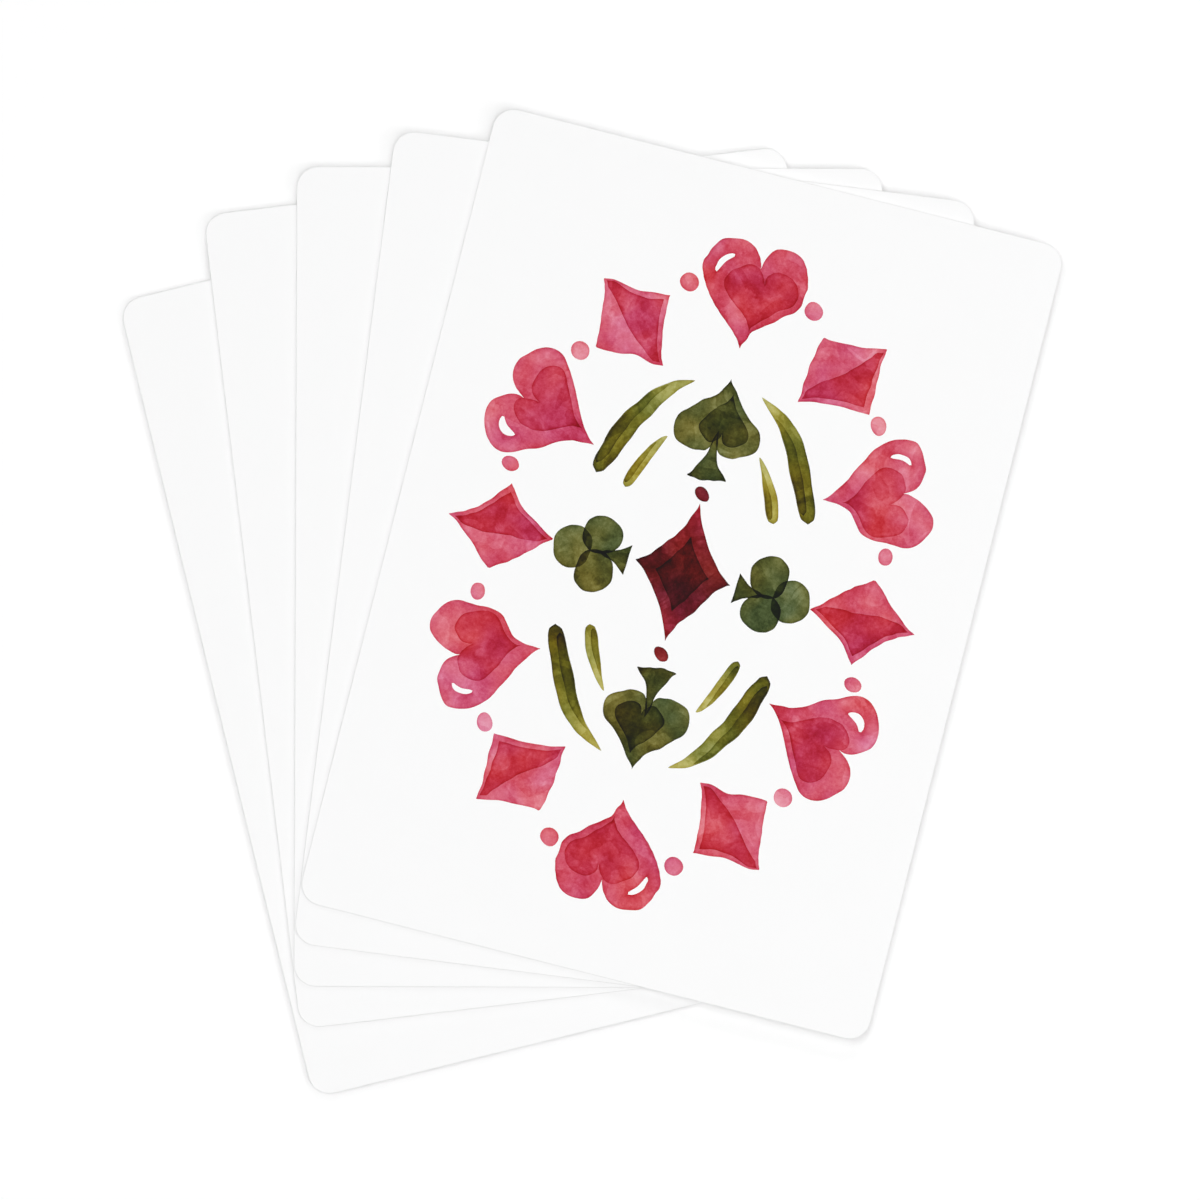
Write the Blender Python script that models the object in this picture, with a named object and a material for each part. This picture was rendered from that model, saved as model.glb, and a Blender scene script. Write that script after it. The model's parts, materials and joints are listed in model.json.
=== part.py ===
"""Five poker-size playing cards, fanned face down on a table.

Each card is a laminate of three layers, as card makers build it: a face sheet and a back sheet
of coated paper, bonded by an opaque core film that keeps the print from showing through. The
blank is die cut, so its corners are round and its outer rims roll over a little.

The cards turn about one point near their lower edge, where a thumb would hold the fan. That
point is the origin, on the table. +Z is up, and the middle card's length runs along +Y. Card 1
lies on the table and leans to the left, and the last card is on top and leans to the right.
Lengths are in metres.
"""

import math

import bmesh
import bpy
from mathutils import Matrix

# Card blank
CARD_WIDTH = 0.0635
CARD_LENGTH = 0.0889
CORNER_RADIUS = 0.00235
CORNER_SEGMENTS = 10

# Laminate, listed from the table up
FACE_SHEET_THICKNESS = 0.00014
CORE_FILM_THICKNESS = 0.00002
BACK_SHEET_THICKNESS = 0.00014
BOND_LINE = 0.000001
DIE_ROLL = 0.00003
DIE_ROLL_SEGMENTS = 2

# Fan
CARD_COUNT = 5
FAN_STEP = math.radians(7.0)
PIVOT_RIGHT_OF_CENTRE_LINE = 0.0067
PIVOT_ABOVE_LOWER_EDGE = 0.0034
AIR_FILM = 0.00005

# The lowest card has slipped out of the fan a little, along its own edges
LOWEST_CARD_SLIP_RIGHT = -0.0005
LOWEST_CARD_SLIP_UP = -0.0029

# Finishes: base colour, roughness
COATED_PAPER = ((0.93, 0.93, 0.93, 1.0), 0.4)
OPAQUE_GLUE = ((0.06, 0.065, 0.08, 1.0), 0.8)

CARD_THICKNESS = FACE_SHEET_THICKNESS + CORE_FILM_THICKNESS + BACK_SHEET_THICKNESS + 2 * BOND_LINE
CARD_PITCH = CARD_THICKNESS + AIR_FILM


def clear_scene():
    for item in list(bpy.data.objects):
        bpy.data.objects.remove(item)


def finish(name, colour, roughness):
    """A plain opaque material."""
    material = bpy.data.materials.new(name)
    material.use_nodes = True
    shader = material.node_tree.nodes["Principled BSDF"]
    shader.inputs["Base Color"].default_value = colour
    shader.inputs["Roughness"].default_value = roughness
    shader.inputs["Metallic"].default_value = 0.0
    return material


def upright_edges(blank):
    """The edges of a box that run along Z."""
    return [e for e in blank.edges if abs(e.verts[0].co.z - e.verts[1].co.z) > 0]


def rim_edges(blank, side):
    """The edges round the top face of a sheet (side 1) or round its bottom face (side -1)."""
    cap = max(blank.faces, key=lambda face: face.normal.z * side * face.calc_area())
    return list(cap.edges)


def layer_mesh(name, thickness, rolled_side, material):
    """One die-cut layer, standing on Z = 0. The rim on its rolled side, 1 or -1, is rounded over,
    and 0 leaves both rims square."""
    blank = bmesh.new()
    size = Matrix.Diagonal((CARD_WIDTH, CARD_LENGTH, thickness, 1.0))
    bmesh.ops.create_cube(blank, size=1.0, matrix=Matrix.Translation((0, 0, thickness / 2)) @ size)
    bmesh.ops.bevel(
        blank,
        geom=upright_edges(blank),
        offset=CORNER_RADIUS,
        offset_type="OFFSET",
        segments=CORNER_SEGMENTS,
        profile=0.5,
        affect="EDGES",
    )
    if rolled_side:
        blank.normal_update()
        bmesh.ops.bevel(
            blank,
            geom=rim_edges(blank, rolled_side),
            offset=DIE_ROLL,
            offset_type="OFFSET",
            segments=DIE_ROLL_SEGMENTS,
            profile=0.5,
            affect="EDGES",
        )
    mesh = bpy.data.meshes.new(name)
    blank.to_mesh(mesh)
    blank.free()
    mesh.materials.append(material)
    mesh.shade_smooth()
    mesh.set_sharp_from_angle(angle=math.radians(30))
    return mesh


def laminate():
    """The three layers of a card as (name, mesh, height of its underside above the card's own)."""
    paper_face = finish("coated_paper_face", *COATED_PAPER)
    paper_back = finish("coated_paper_back", *COATED_PAPER)
    glue = finish("opaque_glue", *OPAQUE_GLUE)
    core_height = FACE_SHEET_THICKNESS + BOND_LINE
    back_height = core_height + CORE_FILM_THICKNESS + BOND_LINE
    return [
        ("face_sheet", layer_mesh("face_sheet", FACE_SHEET_THICKNESS, -1, paper_face), 0.0),
        ("core_film", layer_mesh("core_film", CORE_FILM_THICKNESS, 0, glue), core_height),
        ("back_sheet", layer_mesh("back_sheet", BACK_SHEET_THICKNESS, 1, paper_back), back_height),
    ]


def add_card(collection, number, layers):
    """One card of the fan. Its empty stands on the fan's pivot and carries its layers."""
    pivot = bpy.data.objects.new(f"card_{number}_pivot", None)
    collection.objects.link(pivot)
    steps_from_middle = number - (CARD_COUNT + 1) / 2
    pivot.location.z = (number - 1) * CARD_PITCH
    pivot.rotation_euler.z = -steps_from_middle * FAN_STEP

    centre_x = -PIVOT_RIGHT_OF_CENTRE_LINE
    centre_y = CARD_LENGTH / 2 - PIVOT_ABOVE_LOWER_EDGE
    if number == 1:
        centre_x += LOWEST_CARD_SLIP_RIGHT
        centre_y += LOWEST_CARD_SLIP_UP
    for name, mesh, height in layers:
        layer = bpy.data.objects.new(f"card_{number}_{name}", mesh)
        layer.parent = pivot
        layer.location = (centre_x, centre_y, height)
        collection.objects.link(layer)


def main():
    clear_scene()
    collection = bpy.data.collections.new("playing_card_fan")
    bpy.context.scene.collection.children.link(collection)
    layers = laminate()
    for number in range(1, CARD_COUNT + 1):
        add_card(collection, number, layers)


main()
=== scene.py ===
"""Looks for a fan of five playing cards: printed sheets, core films, table, light and camera.

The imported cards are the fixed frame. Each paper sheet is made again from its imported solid, with the
print let into its flat outer face, so the ink lies flush with the paper as it does on a real card.
Lengths are in metres. A print is laid out as seen from its own side of the card, from the card's
centre, with x across the card and y along it.
"""

import json
import math
import random
from typing import NamedTuple

import bmesh
import bpy
import numpy as np
from bpy.props import FloatProperty, FloatVectorProperty, IntProperty, PointerProperty
from bpy.types import NodeSocket, Operator, Panel, PropertyGroup
from mathutils import Matrix, Vector
from mathutils.geometry import delaunay_2d_cdt

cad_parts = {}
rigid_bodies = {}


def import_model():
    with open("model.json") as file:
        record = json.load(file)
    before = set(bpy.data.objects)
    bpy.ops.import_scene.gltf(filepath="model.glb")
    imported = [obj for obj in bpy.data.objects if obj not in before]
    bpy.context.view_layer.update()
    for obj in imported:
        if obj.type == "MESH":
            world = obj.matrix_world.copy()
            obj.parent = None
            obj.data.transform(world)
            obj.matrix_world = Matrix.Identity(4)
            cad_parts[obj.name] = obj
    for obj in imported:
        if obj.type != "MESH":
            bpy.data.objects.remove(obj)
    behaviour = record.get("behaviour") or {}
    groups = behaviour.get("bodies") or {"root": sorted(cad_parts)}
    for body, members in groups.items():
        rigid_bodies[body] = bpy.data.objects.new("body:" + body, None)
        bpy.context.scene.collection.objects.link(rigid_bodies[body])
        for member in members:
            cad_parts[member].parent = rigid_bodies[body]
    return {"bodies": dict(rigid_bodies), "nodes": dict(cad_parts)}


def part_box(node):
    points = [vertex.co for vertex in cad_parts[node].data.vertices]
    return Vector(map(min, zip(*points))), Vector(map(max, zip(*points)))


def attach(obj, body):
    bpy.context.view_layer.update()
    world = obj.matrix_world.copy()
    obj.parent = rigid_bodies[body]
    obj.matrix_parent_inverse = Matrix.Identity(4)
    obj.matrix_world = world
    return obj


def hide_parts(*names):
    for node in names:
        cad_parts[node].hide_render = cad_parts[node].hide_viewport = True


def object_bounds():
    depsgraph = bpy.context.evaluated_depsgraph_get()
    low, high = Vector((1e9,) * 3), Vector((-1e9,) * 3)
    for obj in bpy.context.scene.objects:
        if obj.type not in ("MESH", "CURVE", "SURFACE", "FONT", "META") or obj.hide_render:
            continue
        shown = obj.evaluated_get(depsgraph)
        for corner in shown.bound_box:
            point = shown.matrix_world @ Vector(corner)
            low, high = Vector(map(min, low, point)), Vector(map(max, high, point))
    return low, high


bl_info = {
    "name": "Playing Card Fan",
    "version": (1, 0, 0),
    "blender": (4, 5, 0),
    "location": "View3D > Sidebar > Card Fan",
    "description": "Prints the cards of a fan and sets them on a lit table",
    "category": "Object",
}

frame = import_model()
CAD_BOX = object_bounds()
CARD_NUMBERS = range(1, len(frame["bodies"]) + 1)

# The number and suit on each card's face, from the lowest card up
FACES = [("7", "heart"), ("4", "club"), ("9", "diamond"), ("5", "spade"), ("8", "heart")]

# The photograph's width, where the pinch point is in it, its scale, and how far the fan is turned in it
PHOTO_WIDTH = 1200
PINCH_POINT_PIXEL = (648.5, 955.9)
PIXELS_PER_METRE = 9212
FAN_ROLL = math.radians(0.21)

# How finely an outline is drawn, and how far inside it the points lie that tell its rim from its middle
OUTLINE_STEP = 0.0003
FEWEST_POINTS = 12
RIM_BAND = 0.00045

# The waves in which a painting hand sways: their lengths, and their shares of the wobble
SWAY_WAVES = [(0.009, 1.0), (0.005, 0.6), (0.003, 0.32), (0.0017, 0.14), (0.001, 0.07)]

# Pips and dots in half of the wreath on a back
HALF_WREATH = 12

# Sizes on a back, where 1 is the height of a heart in the wreath
DOT_SIZE = 0.17
BEAD_SIZE = 0.14
SPADE_SIZE = 0.96
CLUB_SIZE = 0.7
LOZENGE_SIZE = 1.3
LOZENGE_CORE_SIZE = 0.76

# Places on a back, as shares of the wreath's half width or half height
DOT_OUT = 1.06
BEAD_UP = 0.29
SPADE_UP = 0.525
CLUB_ACROSS = 0.5

# The corner of a face: margins down to the number, and number heights down to the small pip and across it
INDEX_DOWN = 1.35
INDEX_PIP_DOWN = 1.05
INDEX_PIP_SIZE = 0.72

# How near two points or two heights of a card are when they count as one, and two points of a letter
SAME_POINT = 1e-7
SAME_HEIGHT = 1e-8
SAME_LETTER_POINT = 1e-5

# How a sheet's face is divided: only inside its rim, with points this near joined
INSIDE_RIM = 1
JOINED = 1e-8

# The angle above which an edge of a sheet shows as a crease
CREASE = math.radians(15)

# The radius about which a sheet's walls fan out at its corners when it is unfolded
WALL_TURN = 0.002

# The map a sheet is baked through, the print's share of its width, and where its hidden side starts
BAKE_MAP = "OFBake"
PRINT_SHARE = 0.93
HIDDEN_STRIP = 0.95

# How much of a full gloss the coated paper has, and of its whiteness a raw edge, kept darker than cut paper
# so the walls throw less light onto the table and cards beside them
SHEEN = 0.15
RAW_DIMMED_EDGE = 0.6

# How far inside its rim a dried wash fades to its own strength
DRIED_RIM = 0.00013

# The value of the noise along which a second wash ends
TIDE_LINE = 0.5

# The range that most of a noise's values lie in, and a narrower one for noise with little detail
NOISE_SPREAD = (0.3, 0.7)
PLAIN_NOISE_SPREAD = (0.35, 0.65)

# Lamps less tilted than this are kept out of the gloss, because the camera hangs among them
LOW_LAMP_TILT = 30


def srgb(red, green, blue):
    """A colour given in display values from 0 to 255, as scene values."""
    parts = [value / 255 for value in (red, green, blue)]
    return tuple(p / 12.92 if p <= 0.04045 else ((p + 0.055) / 1.055) ** 2.4 for p in parts)


def colour_property(name, description, default):
    return FloatVectorProperty(
        name=name, description=description, subtype="COLOR", min=0.0, max=1.0, default=default
    )


def length_property(name, description, default):
    return FloatProperty(name=name, description=description, unit="LENGTH", min=0.0, default=default)


def share_property(name, description, default):
    return FloatProperty(
        name=name, description=description, subtype="FACTOR", min=0.0, max=1.0, default=default
    )


class CardPaper(PropertyGroup):
    """The stock that every sheet is cut from."""

    white: colour_property("White", "Bare coated paper", (0.936, 0.936, 0.936))
    core: colour_property("Core", "Dark glue between the sheets", (0.06, 0.065, 0.08))


class CardBack(PropertyGroup):
    """The painted design on the backs, the same on every card and the same either way up."""

    rose: colour_property("Rose", "Full wash of the hearts and diamonds", srgb(203, 70, 94))
    olive: colour_property("Olive", "Full wash of the long strokes", srgb(122, 116, 36))
    leaf: colour_property("Leaf green", "Full wash of the spades and clubs", srgb(72, 75, 30))
    maroon: colour_property("Maroon", "Full wash over the middle lozenge", srgb(96, 44, 44))
    wreath_half_width: length_property("Wreath half width", "Centre to the side pips", 0.0203)
    wreath_half_height: length_property("Wreath half height", "Centre to the end pips", 0.031)
    pip_height: length_property("Pip height", "Height of a heart in the wreath", 0.0118)
    stroke_width: length_property("Stroke width", "Widest part of a long stroke", 0.0022)
    hand_wobble: length_property("Hand wobble", "How far the hand strays off an outline", 0.00028)
    seed: IntProperty(name="Seed", description="Picks the wobbles of the hand", default=7)


class CardFace(PropertyGroup):
    """The number cards on the hidden side."""

    red: colour_property("Red", "Ink of the hearts and diamonds", srgb(200, 28, 44))
    black: colour_property("Black", "Ink of the spades and clubs", srgb(28, 27, 30))
    pip_height: length_property("Pip height", "Height of a large pip", 0.0115)
    column: length_property("Column", "Centre line to the outer columns of pips", 0.0128)
    row: length_property("Row", "Centre line to the end rows of pips", 0.0268)
    index_height: length_property("Index height", "Height of the number in the corner", 0.0082)
    index_margin: length_property("Index margin", "Card's edge to the middle of the number", 0.0058)


class CardStage(PropertyGroup):
    """Table, light and camera."""

    lens: FloatProperty(name="Lens", description="Long, so the view is flat", unit="CAMERA", default=400.0)
    level: FloatProperty(name="Level", description="Light on the table, where 1 makes white", default=1.026)
    dome: share_property("Dome", "Share of the light that comes from all round", 0.06)
    bounce: share_property("Bounce", "Share of the light that the table throws back", 0.7)
    side_lamp_distance: length_property("Side lamp distance", "From the cards to the side lamp", 0.8)
    table: colour_property("Table", "White table top", (1.0, 1.0, 1.0))
    table_width: length_property("Table width", "Wide enough to fill every view", 6.0)
    table_drop: length_property("Table drop", "Gap that the curl of the cards leaves", 0.0005)


class Lamp(NamedTuple):
    """A round soft lamp. Its place and its width are in degrees."""

    name: str
    turn: float  # round the table, anticlockwise from the right
    tilt: float  # off the vertical
    span: float  # across, as seen from the table
    share: float  # of the light on the table


LAMPS = [
    Lamp("overhead", 0, 0, 6, 0.2),
    Lamp("left", 134, 18, 31, 0.256),
    Lamp("front", 298, 13, 42, 0.216),
    Lamp("high_right", 321, 8, 10, 0.102),
    Lamp("back", 78, 53, 14, 0.07),
]
SIDE_LAMP = Lamp("right", 335, 44, 24, 0.096)


class StrokePath(NamedTuple):
    """A long stroke of the brush along an oval round the middle of a back."""

    half_width: float  # of the oval, as a share of the wreath's
    half_height: float  # of the oval, as a share of the wreath's
    start: float  # where the brush lands, in degrees round the oval
    end: float  # where it lifts off
    width: float  # as a share of the widest stroke's
    loads: tuple  # how much ink the brush leaves first and last


STROKE_PATHS = [
    StrokePath(0.63, 0.7, 23, 73, 1.0, (1.4, 0.4)),
    StrokePath(0.46, 0.55, 27, 57, 0.66, (0.75, 0.35)),
]


# Outlines are closed curves of points, one unit high, upright and centred


def turn(count=180):
    """Angles once round, for a closed curve."""
    return np.linspace(0, 2 * math.pi, count, endpoint=False)


def disc():
    """A round dot."""
    around = turn()
    return np.column_stack((np.cos(around), np.sin(around))) / 2


def heart():
    """A heart, by a sum of waves round a circle."""
    around = turn()
    across = 14.6 * np.sin(around) ** 3
    up = 13 * np.cos(around) - 5 * np.cos(2 * around) - 2 * np.cos(3 * around) - np.cos(4 * around)
    return np.column_stack((-across, up + 2.5)) / 29


def lozenge(width=0.8, bulge=0.9):
    """A diamond, with sides that curve in where the bulge is less than 1."""
    around = turn()
    cos, sin = np.cos(around), np.sin(around)
    across = width * np.sign(cos) * np.abs(cos) ** (2 / bulge)
    up = np.sign(sin) * np.abs(sin) ** (2 / bulge)
    return np.column_stack((across, up)) / 2


def foot(top):
    """The flared foot of a spade or a club, from its top down to the base of the pip."""
    down = np.linspace(0, 1, 24)
    half = 0.04 * np.minimum(1, 4 * down) + 0.185 * down**2.6
    height = top - down * (top + 0.5)
    right = np.column_stack((half, height))
    left = np.column_stack((-half, height))
    return np.vstack((left, right[::-1]))


def spade():
    """A spade, as its leaf and its foot."""
    leaf = heart() * (0.82, -0.76) + (0, 0.12)
    return [leaf, foot(-0.02)]


def club():
    """A club, as its three lobes and its foot."""
    lobes = [disc() * 0.53 + offset for offset in ((0, 0.25), (-0.24, -0.1), (0.24, -0.1))]
    return [*lobes, foot(-0.1)]


SUITS = {
    "heart": lambda: [heart()],
    "diamond": lambda: [lozenge()],
    "spade": spade,
    "club": club,
}


class Place(NamedTuple):
    """Where an outline goes on a card."""

    height: float
    centre: tuple = (0, 0)
    angle: float = 0.0  # anticlockwise


def placed(outline, place):
    """An outline at its height, turned and moved to its centre."""
    cos, sin = math.cos(place.angle), math.sin(place.angle)
    turned = outline @ np.array(((cos, sin), (-sin, cos)))
    return turned * place.height + np.array(place.centre)


def axis_of(place):
    """A pip's axis from its top to its foot."""
    return placed(np.array(((0, 0.5), (0, -0.5))), place)


def signed_area(outline):
    """The area inside an outline, less than 0 where it runs clockwise."""
    x, y = outline.T
    return (np.roll(y, -1) * x - np.roll(x, -1) * y).sum() / 2


def even(outline, step=OUTLINE_STEP):
    """The outline with evenly spaced points, anticlockwise."""
    if signed_area(outline) < 0:
        outline = outline[::-1]
    loop = np.vstack((outline, outline[:1]))
    reach = np.concatenate(([0], np.hypot(*np.diff(loop, axis=0).T).cumsum()))
    count = max(FEWEST_POINTS, round(reach[-1] / step))
    stops = np.linspace(0, reach[-1], count, endpoint=False)
    return np.column_stack([np.interp(stops, reach, side) for side in loop.T])


def outward(outline):
    """Unit normals of an anticlockwise outline."""
    along = np.roll(outline, -1, axis=0) - np.roll(outline, 1, axis=0)
    along /= np.hypot(*along.T)[:, None]
    return np.column_stack((along[:, 1], -along[:, 0]))


def ellipse_point(degrees, half_width=1.0, half_height=1.0):
    """A point on an ellipse, or a row of them for a row of angles."""
    around = np.radians(degrees)
    return np.stack((half_width * np.cos(around), half_height * np.sin(around)), axis=-1)


def arc(half_width, half_height, start, end, count=40):
    """Points along an ellipse between two angles in degrees."""
    return ellipse_point(np.linspace(start, end, count), half_width, half_height)


def sway_of(hand, wobble):
    """How a hand strays over the card: a few long waves and some short ones, as a function that moves
    points. Dabs that share one sway keep inside each other."""
    waves = []
    for length, share in SWAY_WAVES:
        push = ellipse_point(hand.uniform(0, 360)) * share * wobble
        run = ellipse_point(hand.uniform(0, 360)) * 2 * math.pi / length
        waves.append((push, run, hand.uniform(0, 2 * math.pi)))

    def sway(points):
        return points + sum(np.cos(points @ run + start)[:, None] * push for push, run, start in waves)

    return sway


def painted(outline, place, *sways):
    """An outline at its place, as a swaying hand draws it."""
    drawn = even(placed(outline, place))
    for sway in sways:
        drawn = sway(drawn)
    return drawn


def sideways(spine):
    """Unit vectors to the left of a path."""
    along = np.gradient(spine, axis=0)
    along /= np.hypot(*along.T)[:, None]
    return np.column_stack((-along[:, 1], along[:, 0]))


def stroke(spine, width, landing=0.3, lifting=0.75):
    """The outline of a brush stroke that lands on the spine's start and lifts off at its end."""
    share = np.linspace(0, 1, len(spine))
    swell = share**landing * (1 - share) ** lifting
    half = sideways(spine) * (width / 2 * swell / swell.max())[:, None]
    return np.vstack((spine + half, (spine - half)[::-1]))


class Dab(NamedTuple):
    """One touch of the brush or one printed shape."""

    outlines: list  # ink covers what lies inside an odd number of these
    spine: np.ndarray  # the brush's path, from its first load to its last
    loads: tuple  # how much ink lies at even steps along the spine
    ink: np.ndarray  # the share of red, green and blue that a full load takes, as logarithms
    gaps: tuple = ()  # bare places inside


def ink_of(colour):
    """What a full load of ink takes from red, green and blue."""
    return -np.log(np.maximum(np.array(colour[:3]), 0.002))


def upside_down(dab):
    """The dab turned half round about the card's centre."""
    return dab._replace(
        outlines=[-outline for outline in dab.outlines],
        spine=-dab.spine,
        gaps=tuple(-gap for gap in dab.gaps),
    )


def heart_dabs(back, hand, place):
    """A heart: a wash that leaves a gleam bare on one lobe, and a darker one low on the other side."""
    ink = ink_of(back.rose)
    sway = sway_of(hand, back.hand_wobble)
    second_sway = sway_of(hand, back.hand_wobble * 0.5)
    body = painted(heart(), place, sway)
    gleam_spine = placed(arc(0.13, 0.14, 200, 100) + (-0.225, 0.195), place)
    gleam = sway(even(stroke(gleam_spine, 0.055 * place.height, 0.6, 0.6)))
    glaze_shape = heart() * (0.64, 0.62) + (0.07, -0.02)
    glaze = painted(glaze_shape, place, sway, second_sway)
    spine = axis_of(place)
    return [
        Dab([body], spine, (hand.uniform(0.65, 0.8), hand.uniform(0.85, 1.05)), ink, (gleam,)),
        Dab([glaze], spine, (0.15, hand.uniform(0.35, 0.5)), ink, (gleam,)),
    ]


def diamond_dabs(back, hand, place):
    """A diamond: one wash, and a second over the half that lies in shade."""
    ink = ink_of(back.rose)
    sway = sway_of(hand, back.hand_wobble)
    second_sway = sway_of(hand, back.hand_wobble * 0.4)
    body = painted(lozenge(), place, sway)
    half = lozenge(0.72) * 0.9
    half[:, 0] = np.maximum(half[:, 0], -0.04)
    shade = painted(half, place, sway, second_sway)
    spine = axis_of(place)
    return [
        Dab([body], spine, (hand.uniform(0.55, 0.75), hand.uniform(0.75, 0.95)), ink),
        Dab([shade], spine, (0.5, 0.3), ink),
    ]


def spade_dabs(back, hand, place):
    """A spade: a leaf-shaped dab with a darker middle, and a flick for its foot."""
    ink = ink_of(back.leaf)
    sway = sway_of(hand, back.hand_wobble)
    second_sway = sway_of(hand, back.hand_wobble * 0.5)
    leaf, base = (painted(outline, place, sway) for outline in spade())
    core_shape = heart() * (0.5, -0.5) + (0.05, 0.1)
    core = painted(core_shape, place, sway, second_sway)
    spine = axis_of(place)
    return [
        Dab([base], spine, (0.7, 1.0), ink),
        Dab([leaf], spine, (0.95, 0.6), ink),
        Dab([core], spine, (0.35, 0.6), ink),
    ]


def club_dabs(back, hand, place):
    """A club: three round dabs that run into each other, and a flick for its foot."""
    ink = ink_of(back.leaf)
    sway = sway_of(hand, back.hand_wobble * 0.7)
    spine = axis_of(place)
    *lobes, base = (painted(outline, place, sway) for outline in club())
    dabs = [Dab([base], spine, (0.8, 1.0), ink)]
    for lobe in lobes:
        load = hand.uniform(0.65, 0.95)
        dabs.append(Dab([lobe], spine, (load, load), ink))
    return dabs


def stroke_dabs(back, hand, spine, width, loads):
    """A long stroke, with more ink along one side where the brush leant."""
    ink = ink_of(back.olive)
    sway = sway_of(hand, back.hand_wobble * 0.5)
    body = sway(even(stroke(spine, width)))
    leaning = (spine + sideways(spine) * width * 0.2)[2 : len(spine) * 4 // 5]
    side = sway(even(stroke(leaning, width * 0.5)))
    return [
        Dab([body], spine, loads, ink),
        Dab([side], leaning, (0.35, 0.12), ink),
    ]


def dot_dabs(ink, back, hand, size, centre, load):
    """A touch of the brush's tip."""
    shape = disc() * (hand.uniform(0.8, 1.0), hand.uniform(0.95, 1.15))
    sway = sway_of(hand, back.hand_wobble * 0.6)
    dot = painted(shape, Place(size, centre, hand.uniform(0, math.pi)), sway)
    return [Dab([dot], axis_of(Place(size, centre)), (load, load * 1.2), ink)]


def even_angles(half_width, half_height, count):
    """Angles in degrees that divide an ellipse into equal lengths."""
    fine = np.linspace(0, 360, 3601)
    steps = np.hypot(*np.diff(ellipse_point(fine, half_width, half_height), axis=0).T)
    reach = np.concatenate(([0], steps.cumsum()))
    return np.interp(np.arange(count) * reach[-1] / count, reach, fine)


def back_dabs(back):
    """The design on a back: a wreath of pips round an oval of strokes, with a lozenge in the middle."""
    hand = random.Random(back.seed)
    width, height = back.wreath_half_width, back.wreath_half_height
    pip = back.pip_height
    rose = ink_of(back.rose)
    maroon = ink_of(back.maroon)
    wine = rose * 0.8 + maroon * 0.6

    half = []
    for number, degrees in enumerate(even_angles(width, height, 2 * HALF_WREATH)[:HALF_WREATH]):
        centre = ellipse_point(degrees, width, height)
        facing = ellipse_point(degrees, 1 / width, 1 / height)
        angle = math.atan2(facing[1], facing[0]) - math.pi / 2
        place = Place(pip, centre, angle)
        if number % 2:
            load = hand.uniform(0.35, 0.6)
            half += dot_dabs(rose, back, hand, pip * DOT_SIZE, centre * DOT_OUT, load)
        elif number % 4:
            half += heart_dabs(back, hand, place)
        else:
            half += diamond_dabs(back, hand, place)

    half += spade_dabs(back, hand, Place(pip * SPADE_SIZE, (0, height * SPADE_UP)))
    half += club_dabs(back, hand, Place(pip * CLUB_SIZE, (width * CLUB_ACROSS, 0), -math.pi / 2))
    half += dot_dabs(wine, back, hand, pip * BEAD_SIZE, (0, height * BEAD_UP), 0.85)
    for flip in (1, -1):
        for path in STROKE_PATHS:
            oval = arc(width * path.half_width, height * path.half_height, path.start, path.end)
            half += stroke_dabs(back, hand, oval * (flip, 1), back.stroke_width * path.width, path.loads)

    sway = sway_of(hand, back.hand_wobble)
    middle = painted(lozenge(0.7, 0.8), Place(pip * LOZENGE_SIZE), sway)
    inner = painted(lozenge(0.68, 0.85), Place(pip * LOZENGE_CORE_SIZE), sway)
    spine = axis_of(Place(pip * LOZENGE_SIZE))
    centre = [
        Dab([middle], spine, (1.2, 0.7, 1.2), rose),
        Dab([middle], spine, (0.1, 0.9, 0.1), maroon),
        Dab([inner], spine, (0.3, 0.4, 0.3), maroon),
    ]
    return half + [upside_down(dab) for dab in half] + centre


def pip_places(count):
    """Where a number card has its pips, as shares of the outer column and the end row."""
    corners = [(-1, 1), (1, 1), (-1, -1), (1, -1)]
    sides = [(-1, 0), (1, 0)]
    quarters = [(-1, 1 / 3), (1, 1 / 3), (-1, -1 / 3), (1, -1 / 3)]
    return {
        4: corners,
        5: [*corners, (0, 0)],
        7: [*corners, *sides, (0, 0.5)],
        8: [*corners, *sides, (0, 0.5), (0, -0.5)],
        9: [*corners, *quarters, (0, 0)],
    }[count]


def rim_loops(shape):
    """The loops of vertices round a mesh's open rims."""
    loops = []
    done = set()
    for first in shape.edges:
        if not first.is_boundary or first in done:
            continue
        done.add(first)
        loop = list(first.verts)
        while loop[-1] is not loop[0]:
            onward = next(e for e in loop[-1].link_edges if e.is_boundary and e not in done)
            done.add(onward)
            loop.append(onward.other_vert(loop[-1]))
        loops.append(loop[:-1])
    return loops


def numeral(text):
    """The outlines of a number, one unit high and centred."""
    words = bpy.data.curves.new("numeral", "FONT")
    words.body = text
    writer = bpy.data.objects.new("numeral", words)
    bpy.context.scene.collection.objects.link(writer)
    view = bpy.context.evaluated_depsgraph_get()
    mesh = bpy.data.meshes.new_from_object(writer.evaluated_get(view))
    shape = bmesh.new()
    shape.from_mesh(mesh)
    bmesh.ops.remove_doubles(shape, verts=shape.verts, dist=SAME_LETTER_POINT)
    outlines = [np.array([vert.co.xy for vert in loop]) for loop in rim_loops(shape)]
    shape.free()
    bpy.data.objects.remove(writer)
    bpy.data.curves.remove(words)
    bpy.data.meshes.remove(mesh)
    low = np.min([outline.min(0) for outline in outlines], axis=0)
    high = np.max([outline.max(0) for outline in outlines], axis=0)
    return [(outline - (low + high) / 2) / (high - low)[1] for outline in outlines]


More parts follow.
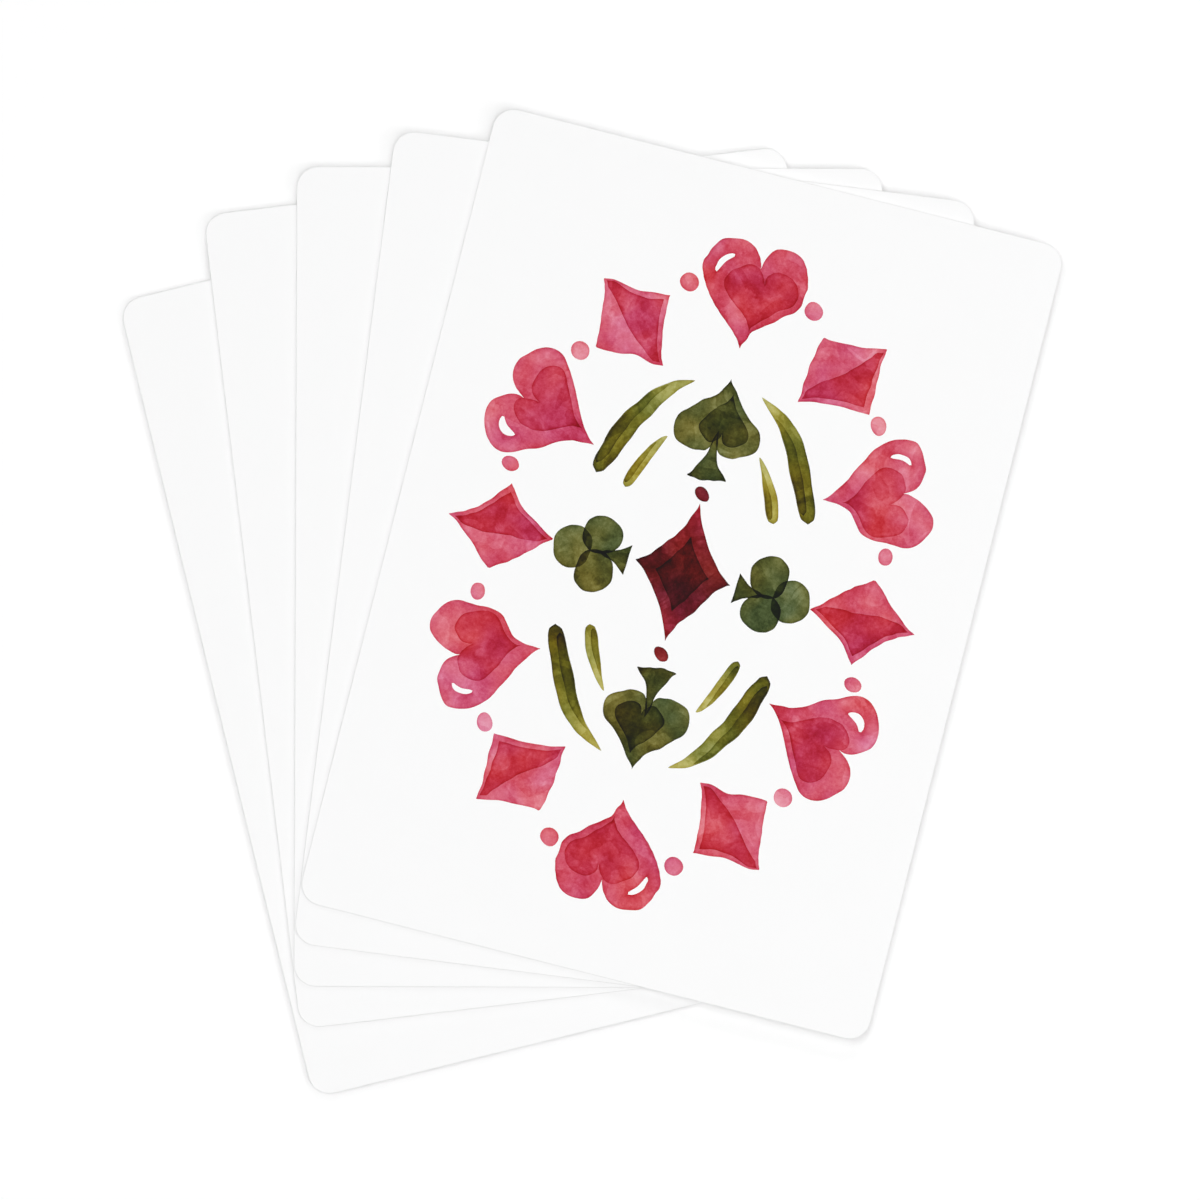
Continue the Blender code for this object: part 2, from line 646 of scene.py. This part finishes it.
def face_dabs(face, text, suit, card_size):
    """A number card: its pips, and its number over a small pip in two opposite corners."""
    ink = ink_of(face.red if suit in ("heart", "diamond") else face.black)
    left = face.index_margin - card_size[0] / 2
    top = card_size[1] / 2 - face.index_margin * INDEX_DOWN

    def solid(outlines, place):
        shapes = [painted(outline, place) for outline in outlines]
        return Dab(shapes, axis_of(place), (1.0, 1.0), ink)

    def pip(place):
        return [solid([outline], place) for outline in SUITS[suit]()]

    dabs = []
    for across, up in pip_places(int(text)):
        centre = (across * face.column, up * face.row)
        dabs += pip(Place(face.pip_height, centre, math.pi if up < 0 else 0.0))
    below = (left, top - face.index_height * INDEX_PIP_DOWN)
    corner = [solid(numeral(text), Place(face.index_height, (left, top)))]
    corner += pip(Place(face.index_height * INDEX_PIP_SIZE, below))
    return dabs + corner + [upside_down(dab) for dab in corner]


# From a print to a sheet


def spans(path, points):
    """Each point's distance to each stretch of a path, and how far along the stretch that is."""
    start, step = path[:-1], np.diff(path, axis=0)
    away = points[:, None] - start[None]
    share = (away * step).sum(-1) / np.maximum((step * step).sum(-1), SAME_POINT**2)
    share = np.clip(share, 0, 1)
    return np.sqrt(((away - share[..., None] * step) ** 2).sum(-1)), share


def depth_in(dab, points):
    """How far each point lies from the nearest rim of the dab."""
    loops = [np.vstack((loop, loop[:1])) for loop in (*dab.outlines, *dab.gaps)]
    return np.min([spans(loop, points)[0].min(1) for loop in loops], axis=0)


def within(outline, points):
    """Which points a closed outline winds round."""
    x, y = points.T[:, :, None]
    (x1, y1), (x2, y2) = outline.T, np.roll(outline, -1, axis=0).T
    slope = (x2 - x1) / np.where(y1 == y2, 1, y2 - y1)
    on_left = x < x1 + (y - y1) * slope
    rising = (y1 <= y) & (y < y2) & on_left
    falling = (y2 <= y) & (y < y1) & on_left
    return rising.sum(1) != falling.sum(1)


def covered(dab, points):
    """Which points lie under the dab's ink."""
    under = np.sum([within(outline, points) for outline in dab.outlines], axis=0) % 2 == 1
    for gap in dab.gaps:
        under &= ~within(gap, points)
    return under


def load_at(dab, points):
    """The ink that the brush leaves at each point, by how far along its path that is."""
    distance, share = spans(dab.spine, points)
    nearest = distance.argmin(1)
    rows = np.arange(len(points))
    along = (nearest + share[rows, nearest]) / (len(dab.spine) - 1)
    return np.interp(along, np.linspace(0, 1, len(dab.loads)), dab.loads)


def inner_points(dab):
    """Points a little inside a dab's rims, so that the rim can be told from the middle."""
    found = []
    for loop in dab.outlines:
        ring = (loop - outward(loop) * RIM_BAND)[::2]
        found.append(ring[depth_in(dab, ring) > RIM_BAND * 0.7])
    if len(dab.spine) > 2:
        found.append(dab.spine[2:-2])
    return np.vstack(found)


def unfold(sheet, side, level):
    """Lays a sheet out flat on its map: the printed face with the walls folded out round it, and the
    hidden face squeezed into a strip beside them."""
    sheet.normal_update()
    sheet.verts.index_update()
    places = np.array([vert.co for vert in sheet.verts])
    spots = places[:, :2] * (side, 1)
    drop = np.abs(places[:, 2:] - level)
    half = spots.max(0)
    away = spots - np.clip(spots, WALL_TURN - half, half - WALL_TURN)
    away /= np.maximum(np.hypot(*away.T), SAME_POINT)[:, None]
    shown = (spots + away * drop) / (half + drop.max()) / 2 + 0.5
    hidden = spots / half / 2 + 0.5
    shown[:, 0] *= PRINT_SHARE
    hidden[:, 0] = HIDDEN_STRIP + hidden[:, 0] * (1 - HIDDEN_STRIP)
    layer = sheet.loops.layers.uv.new(BAKE_MAP)
    for face in sheet.faces:
        chart = hidden if face.normal.z * side < -0.5 else shown
        for loop in face.loops:
            loop[layer].uv = chart[loop.vert.index]


def divided(rim, side, dabs):
    """Triangles that fill a sheet's rim and keep to the outlines of a print: where their corners lie,
    which three each has, and which points they were made from, the rim's first."""
    points = [Vector((vert.co.x * side, vert.co.y)) for vert in rim]
    borders = []
    for dab in dabs:
        for loop in (*dab.outlines, *dab.gaps):
            first, count = len(points), len(loop)
            borders += [(first + step, first + (step + 1) % count) for step in range(count)]
            points += [Vector(point) for point in loop]
        points += [Vector(point) for point in inner_points(dab)]
    areas = [list(range(len(rim)))]
    spots, _, triangles, sources, _, _ = delaunay_2d_cdt(points, borders, areas, INSIDE_RIM, JOINED, True)
    return np.array([spot[:] for spot in spots]), np.array(triangles), sources


def inked(corners, dabs, lay):
    """The ink at the corners of triangles, and their depth inside the rim of the topmost dab. The way
    the ink is laid, np.add for glazes or np.maximum for a press, says what dabs make where they cross."""
    middles = corners.mean(1)
    ink = np.zeros((len(corners), 3, 3))
    depth = np.zeros((len(corners), 3))
    for dab in dabs:
        here = np.flatnonzero(covered(dab, middles))
        points = corners[here].reshape(-1, 2)
        fresh = (load_at(dab, points)[:, None] * dab.ink).reshape(-1, 3, 3)
        ink[here] = lay(ink[here], fresh)
        depth[here] = depth_in(dab, points).reshape(-1, 3)
    return ink, depth


def printed_mesh(name, blank, side, dabs, lay):
    """A copy of the blank sheet whose flat face on one side, 1 for the top and -1 for the underside,
    is divided along the outlines of the print and holds its ink."""
    sheet = bmesh.new()
    sheet.from_mesh(blank)
    ink_layer = sheet.loops.layers.float_vector.new("ink")
    depth_layer = sheet.loops.layers.float.new("depth")
    level = max(vert.co.z * side for vert in sheet.verts) * side
    flat = [f for f in sheet.faces if all(abs(v.co.z - level) < SAME_HEIGHT for v in f.verts)]
    bmesh.ops.delete(sheet, geom=flat, context="FACES")
    rim = rim_loops(sheet)[0]

    spots, triangles, sources = divided(rim, side, dabs)
    ink, depth = inked(spots[triangles], dabs, lay)
    verts = []
    for (x, y), source in zip(spots, sources):
        on_rim = [index for index in source if index < len(rim)]
        verts.append(rim[on_rim[0]] if on_rim else sheet.verts.new((x * side, y, level)))
    for number, triangle in enumerate(triangles):
        face = sheet.faces.new([verts[index] for index in triangle])
        for corner, loop in enumerate(face.loops):
            loop[ink_layer] = ink[number, corner]
            loop[depth_layer] = depth[number, corner]
    unfold(sheet, side, level)

    mesh = bpy.data.meshes.new(name)
    sheet.to_mesh(mesh)
    sheet.free()
    mesh.shade_smooth()
    mesh.set_sharp_from_angle(angle=CREASE)
    return mesh


def sheet_place(node):
    """A sheet's own frame: its middle, X across it, and Y along it and away from the pinch point."""
    low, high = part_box(node)
    walls = [f for f in frame["nodes"][node].data.polygons if abs(f.normal.z) < 0.1]
    normal = max(walls, key=lambda wall: wall.area).normal
    middle = (low + high) / 2
    up = Vector((0, 0, 1))
    along = up.cross(Vector((normal.x, normal.y, 0))).normalized()
    if along.dot(middle) < 0:
        along.negate()
    turned = Matrix((along.cross(up), along, up)).transposed().to_4x4()
    return Matrix.Translation((middle.x, middle.y, low.z)) @ turned


def blank_sheet(node):
    """A packed sheet's bare shape in its own frame, with the corners of its faces joined up."""
    packed = frame["nodes"][node].data
    home = sheet_place(node).inverted()
    mesh = bpy.data.meshes.new(node + "_blank")
    faces = [face.vertices[:] for face in packed.polygons]
    mesh.from_pydata([home @ vert.co for vert in packed.vertices], [], faces)
    blank = bmesh.new()
    blank.from_mesh(mesh)
    bmesh.ops.remove_doubles(blank, verts=blank.verts, dist=SAME_POINT)
    blank.to_mesh(mesh)
    blank.free()
    return mesh


def add_sheet(number, layer, mesh):
    """A printed sheet in the place of a card's packed one."""
    node = f"card_{number}_{layer}_sheet"
    piece = bpy.data.objects.new(f"card_{number}_printed_{layer}", mesh)
    bpy.context.scene.collection.objects.link(piece)
    piece.matrix_world = sheet_place(node)
    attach(piece, f"card_{number}")
    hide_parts(node)


# Materials


def add_node(tree, kind, inputs, **settings):
    """A node with its settings, and with values or links on its inputs."""
    node = tree.nodes.new(kind)
    for name, value in settings.items():
        setattr(node, name, value)
    for key, value in inputs.items():
        if isinstance(value, NodeSocket):
            tree.links.new(value, node.inputs[key])
        else:
            node.inputs[key].default_value = value
    return node


def maths(tree, operation, *values):
    inputs = dict(enumerate(values))
    return add_node(tree, "ShaderNodeMath", inputs, operation=operation).outputs[0]


def vectors(tree, operation, *values):
    inputs = dict(enumerate(values))
    return add_node(tree, "ShaderNodeVectorMath", inputs, operation=operation).outputs[0]


def noise(tree, where, size, detail=3.0, roughness=0.5, distortion=0.0):
    """Soft noise whose spots are about that size, in metres."""
    inputs = {
        "Vector": where,
        "Scale": 1 / size,
        "Detail": detail,
        "Roughness": roughness,
        "Distortion": distortion,
    }
    return add_node(tree, "ShaderNodeTexNoise", inputs).outputs[0]


def ranged(tree, value, span, onto, smooth=False):
    """The value carried from one range onto another, and held at its ends."""
    inputs = {"Value": value}
    for word, ends in (("From", span), ("To", onto)):
        inputs[word + " Min"], inputs[word + " Max"] = ends
    kind = "SMOOTHSTEP" if smooth else "LINEAR"
    return add_node(tree, "ShaderNodeMapRange", inputs, interpolation_type=kind).outputs[0]


def varied(tree, where, size, onto, detail=3.0, roughness=0.5):
    """A value that varies from place to place over a range, in spots of about that size."""
    return ranged(tree, noise(tree, where, size, detail, roughness), NOISE_SPREAD, onto)


def combine(tree, value):
    """One value as three equal parts."""
    return add_node(tree, "ShaderNodeCombineXYZ", {0: value, 1: value, 2: value}).outputs[0]


def own_place(tree):
    """Each place on a piece, in the piece's own frame."""
    return add_node(tree, "ShaderNodeTexCoord", {}).outputs["Object"]


def new_material(name):
    """A material with only its output, and its tree."""
    material = bpy.data.materials.new(name)
    material.use_nodes = True
    material.node_tree.nodes.clear()
    return material, material.node_tree


def shade(tree, colour, roughness, normal, specular):
    """Ends a tree in a plain glossy-over-matt surface."""
    inputs = {
        "Base Color": colour,
        "Roughness": roughness,
        "Normal": normal,
        "Specular IOR Level": specular,
    }
    surface = add_node(tree, "ShaderNodeBsdfPrincipled", inputs)
    add_node(tree, "ShaderNodeOutputMaterial", {"Surface": surface.outputs[0]})


def bare_paper(tree, where, white):
    """Colour, roughness and normal of coated paper: faint clouds in the pulp, a fine tooth, and raw edges
    that are greyer than the coating.
    The edges are also darker than cut paper alone, so they throw less light onto the table and the cards
    beside them, and the shadows there come out deeper."""
    clouds = varied(tree, where, size=0.009, onto=(0.997, 1.002))
    normal = add_node(tree, "ShaderNodeNewGeometry", {}).outputs["True Normal"]
    upright = add_node(tree, "ShaderNodeSeparateXYZ", {0: normal}).outputs["Z"]
    # Upright walls take the darker raw-edge white, partly the grey of cut paper and partly a dimming that
    # cuts the light they throw round them
    coating = ranged(tree, maths(tree, "ABSOLUTE", upright), (0.3, 0.95), (RAW_DIMMED_EDGE, 1.0))
    brightness = combine(tree, maths(tree, "MULTIPLY", clouds, coating))
    colour = vectors(tree, "MULTIPLY", tuple(white), brightness)
    roughness = varied(tree, where, size=0.0011, onto=(0.44, 0.52))
    tooth = noise(tree, where, size=0.00022, roughness=0.6)
    bump = add_node(tree, "ShaderNodeBump", {"Strength": 0.12, "Distance": 0.000012, "Height": tooth})
    return colour, roughness, bump.outputs[0]


def ink_colour(tree, paper, amount):
    """Paper seen through its ink, where the mesh says how much of each colour the ink takes and the
    amount, a value or a vector, says how thick it lies."""
    ink = add_node(tree, "ShaderNodeAttribute", {}, attribute_name="ink").outputs["Vector"]
    taken = vectors(tree, "MULTIPLY", ink, amount)
    passed = vectors(tree, "POWER", (1 / math.e,) * 3, taken)
    return vectors(tree, "MULTIPLY", paper, passed)


def watercolour_paper(paper):
    """Coated paper with a print of watercolour: uneven washes, blooms, grain, and dark dried rims."""
    material, tree = new_material("watercolour_back_paper")
    where = own_place(tree)
    colour, roughness, normal = bare_paper(tree, where, paper.white)

    flow = noise(tree, where, size=0.0034, detail=4.0, roughness=0.55, distortion=0.5)
    wash = ranged(tree, flow, (0.32, 0.68), (0.72, 1.2))
    tide = noise(tree, where, size=0.005, distortion=1.2)
    second_wash = ranged(tree, tide, (TIDE_LINE, TIDE_LINE + 0.015), (0.0, 0.2), smooth=True)
    off_its_line = maths(tree, "ABSOLUTE", maths(tree, "SUBTRACT", tide, TIDE_LINE))
    tide_mark = ranged(tree, off_its_line, (0, 0.02), (0.16, 0))
    mottle = varied(tree, where, size=0.0013, onto=(0.87, 1.13), roughness=0.6)
    grain = varied(tree, where, size=0.00034, onto=(0.85, 1.15), roughness=0.75)

    depth = add_node(tree, "ShaderNodeAttribute", {}, attribute_name="depth").outputs["Fac"]
    fall = maths(tree, "POWER", 1 / math.e, maths(tree, "DIVIDE", depth, DRIED_RIM))
    patches = noise(tree, where, size=0.0021, detail=2.0)
    patchy = ranged(tree, patches, PLAIN_NOISE_SPREAD, (0.2, 0.85))
    rim = maths(tree, "MULTIPLY", fall, patchy)

    amount = maths(tree, "ADD", maths(tree, "ADD", wash, second_wash), tide_mark)
    amount = maths(tree, "MULTIPLY", amount, maths(tree, "MULTIPLY", mottle, grain))
    amount = maths(tree, "ADD", amount, rim)
    drift = noise(tree, where, size=0.007, detail=2.0)
    red = ranged(tree, drift, PLAIN_NOISE_SPREAD, (0.9, 1.1))
    blue = ranged(tree, drift, PLAIN_NOISE_SPREAD, (1.14, 0.9))
    hue = add_node(tree, "ShaderNodeCombineXYZ", {0: red, 1: 1.0, 2: blue})
    amounts = vectors(tree, "MULTIPLY", combine(tree, amount), hue.outputs[0])
    shade(tree, ink_colour(tree, colour, amounts), roughness, normal, SHEEN)
    return material


def litho_paper(paper):
    """Coated paper with a press-printed face: even ink with a faint mottle."""
    material, tree = new_material("litho_face_paper")
    where = own_place(tree)
    colour, roughness, normal = bare_paper(tree, where, paper.white)
    mottle = varied(tree, where, size=0.0006, onto=(0.9, 1.08), detail=4.0, roughness=0.7)
    shade(tree, ink_colour(tree, colour, combine(tree, mottle)), roughness, normal, SHEEN)
    return material


def core_glue(paper):
    """Dark glue, dull and a little grainy where the die has cut it."""
    material, tree = new_material("core_glue")
    where = own_place(tree)
    grain = varied(tree, where, size=0.0002, onto=(0.75, 1.3), detail=4.0, roughness=0.7)
    colour = vectors(tree, "MULTIPLY", tuple(paper.core), combine(tree, grain))
    roughness = varied(tree, where, size=0.0005, onto=(0.7, 0.9))
    bump = add_node(tree, "ShaderNodeBump", {"Strength": 0.3, "Distance": 0.00001, "Height": grain})
    shade(tree, colour, roughness, bump.outputs[0], SHEEN)
    return material


def seen_directly(tree):
    """1 where the camera sees a place itself, in a gloss or through glass, and 0 for other light."""
    rays = add_node(tree, "ShaderNodeLightPath", {}).outputs
    straight_or_glossy = maths(tree, "MAXIMUM", rays["Is Camera Ray"], rays["Is Glossy Ray"])
    return maths(tree, "MAXIMUM", straight_or_glossy, rays["Is Transmission Ray"])


def table_top(stage):
    """A plain table that is white to the camera, and throws less light back up under the cards."""
    material, tree = new_material("white_table")
    share = ranged(tree, seen_directly(tree), (0, 1), (stage.bounce, 1.0))
    colour = vectors(tree, "MULTIPLY", tuple(stage.table), combine(tree, share))
    surface = add_node(tree, "ShaderNodeBsdfDiffuse", {"Color": colour})
    add_node(tree, "ShaderNodeOutputMaterial", {"Surface": surface.outputs[0]})
    return material


class CARDFAN_OT_print_backs(Operator):
    """Print the painted design on the back sheet of every card"""

    bl_idname = "card_fan.print_backs"
    bl_label = "Print Backs"

    def execute(self, context):
        scene = context.scene
        blank = blank_sheet("card_1_back_sheet")
        mesh = printed_mesh("printed_back", blank, 1, back_dabs(scene.card_back), np.add)
        mesh.materials.append(watercolour_paper(scene.card_paper))
        for number in CARD_NUMBERS:
            add_sheet(number, "back", mesh)
        bpy.data.meshes.remove(blank)
        return {"FINISHED"}


class CARDFAN_OT_print_faces(Operator):
    """Print a number and its pips on the face sheet of every card"""

    bl_idname = "card_fan.print_faces"
    bl_label = "Print Faces"

    def execute(self, context):
        scene = context.scene
        blank = blank_sheet("card_1_face_sheet")
        card_size = np.ptp([vert.co.xy for vert in blank.vertices], axis=0)
        material = litho_paper(scene.card_paper)
        for number, (text, suit) in zip(CARD_NUMBERS, FACES):
            dabs = face_dabs(scene.card_face, text, suit, card_size)
            mesh = printed_mesh(f"printed_face_{number}", blank, -1, dabs, np.maximum)
            mesh.materials.append(material)
            add_sheet(number, "face", mesh)
        bpy.data.meshes.remove(blank)
        return {"FINISHED"}


class CARDFAN_OT_finish_cores(Operator):
    """Give the core film of every card its dark glue"""

    bl_idname = "card_fan.finish_cores"
    bl_label = "Finish Core Films"

    def execute(self, context):
        material = core_glue(context.scene.card_paper)
        for number in CARD_NUMBERS:
            for slot in frame["nodes"][f"card_{number}_core_film"].material_slots:
                slot.material = material
        return {"FINISHED"}


class CARDFAN_OT_set_stage(Operator):
    """Add the table, the lamps, the surrounding light and the camera"""

    bl_idname = "card_fan.set_stage"
    bl_label = "Set Stage"

    def execute(self, context):
        stage = context.scene.card_stage
        add_table(stage)
        add_lamps(stage)
        add_surrounding_light(stage)
        add_camera(stage)
        context.scene.view_settings.view_transform = "Standard"
        return {"FINISHED"}


def add_table(stage):
    """A wide table, a hair below the cards, because a slight curl keeps their edges off it."""
    shape = bmesh.new()
    bmesh.ops.create_grid(shape, x_segments=1, y_segments=1, size=stage.table_width / 2)
    mesh = bpy.data.meshes.new("table")
    shape.to_mesh(mesh)
    shape.free()
    mesh.materials.append(table_top(stage))
    table = bpy.data.objects.new("table", mesh)
    table.location.z = CAD_BOX[0].z - stage.table_drop
    bpy.context.scene.collection.objects.link(table)


def add_lamp(lamp, light, distance=1.0):
    """Hangs a lamp at its distance, facing the middle of the cards."""
    holder = bpy.data.objects.new(lamp.name, light)
    tilt, turn_round = math.radians(lamp.tilt), math.radians(lamp.turn)
    facing = Matrix.Rotation(turn_round, 4, "Z") @ Matrix.Rotation(tilt, 4, "Y")
    middle = Matrix.Translation((CAD_BOX[0] + CAD_BOX[1]) / 2)
    holder.matrix_world = middle @ facing @ Matrix.Translation((0, 0, distance))
    holder.visible_glossy = lamp.tilt > LOW_LAMP_TILT
    bpy.context.scene.collection.objects.link(holder)


def add_lamps(stage):
    """Most of the light comes from lamps overhead or nearly so, which keeps the shadows of the upper
    cards short. The two lowest lamps stand on the right and behind, and widen the shadow of the lowest
    card, on the left and in front."""
    for lamp in LAMPS:
        light = bpy.data.lights.new(lamp.name, "SUN")
        light.angle = math.radians(lamp.span)
        light.energy = stage.level * lamp.share * math.pi / math.cos(math.radians(lamp.tilt))
        add_lamp(lamp, light)
    light = bpy.data.lights.new(SIDE_LAMP.name, "AREA")
    distance = stage.side_lamp_distance
    light.shape = "DISK"
    light.size = 2 * distance * math.tan(math.radians(SIDE_LAMP.span / 2))
    spread = math.pi**2 * distance**2 / math.cos(math.radians(SIDE_LAMP.tilt))
    light.energy = stage.level * SIDE_LAMP.share * spread
    add_lamp(SIDE_LAMP, light, distance)


def add_surrounding_light(stage):
    """An even dome of light, which the camera sees as white."""
    world = bpy.data.worlds.new("studio")
    world.use_nodes = True
    tree = world.node_tree
    tree.nodes.clear()
    strength = ranged(tree, seen_directly(tree), (0, 1), (stage.level * stage.dome, 1.0))
    dome = add_node(tree, "ShaderNodeBackground", {"Color": (1, 1, 1, 1), "Strength": strength})
    add_node(tree, "ShaderNodeOutputWorld", {"Surface": dome.outputs[0]})
    bpy.context.scene.world = world


def add_camera(stage):
    """A camera straight above, framed so that the pinch point falls where the photograph has it."""
    data = bpy.data.cameras.new("camera")
    data.lens = stage.lens
    frame_width = PHOTO_WIDTH / PIXELS_PER_METRE
    distance = frame_width / data.sensor_width * data.lens
    data.clip_end = distance * 10
    right = (PHOTO_WIDTH / 2 - PINCH_POINT_PIXEL[0]) / PIXELS_PER_METRE
    up = (PINCH_POINT_PIXEL[1] - PHOTO_WIDTH / 2) / PIXELS_PER_METRE
    camera = bpy.data.objects.new("camera", data)
    camera.location = Matrix.Rotation(FAN_ROLL, 3, "Z") @ Vector((right, up, distance))
    camera.rotation_euler.z = FAN_ROLL
    bpy.context.scene.collection.objects.link(camera)
    bpy.context.scene.camera = camera


class CARDFAN_PT_fan(Panel):
    """Lists the steps that dress the fan"""

    bl_idname = "CARDFAN_PT_fan"
    bl_label = "Card Fan"
    bl_space_type = "VIEW_3D"
    bl_region_type = "UI"
    bl_category = "Card Fan"

    def draw(self, context):
        for settings, _ in SETTINGS:
            group = getattr(context.scene, settings)
            box = self.layout.box()
            for name in group.__annotations__:
                box.prop(group, name)
        for step in STEPS:
            self.layout.operator(step.bl_idname)


SETTINGS = [
    ("card_paper", CardPaper),
    ("card_back", CardBack),
    ("card_face", CardFace),
    ("card_stage", CardStage),
]
STEPS = [CARDFAN_OT_set_stage, CARDFAN_OT_print_backs, CARDFAN_OT_print_faces, CARDFAN_OT_finish_cores]


def register():
    for name, group in SETTINGS:
        bpy.utils.register_class(group)
        setattr(bpy.types.Scene, name, PointerProperty(type=group))
    for step in STEPS:
        bpy.utils.register_class(step)
    bpy.utils.register_class(CARDFAN_PT_fan)


def unregister():
    bpy.utils.unregister_class(CARDFAN_PT_fan)
    for step in reversed(STEPS):
        bpy.utils.unregister_class(step)
    for name, group in reversed(SETTINGS):
        delattr(bpy.types.Scene, name)
        bpy.utils.unregister_class(group)


def main():
    register()
    bpy.ops.card_fan.set_stage()
    bpy.ops.card_fan.print_backs()
    bpy.ops.card_fan.print_faces()
    bpy.ops.card_fan.finish_cores()


if __name__ == "__main__":
    main()
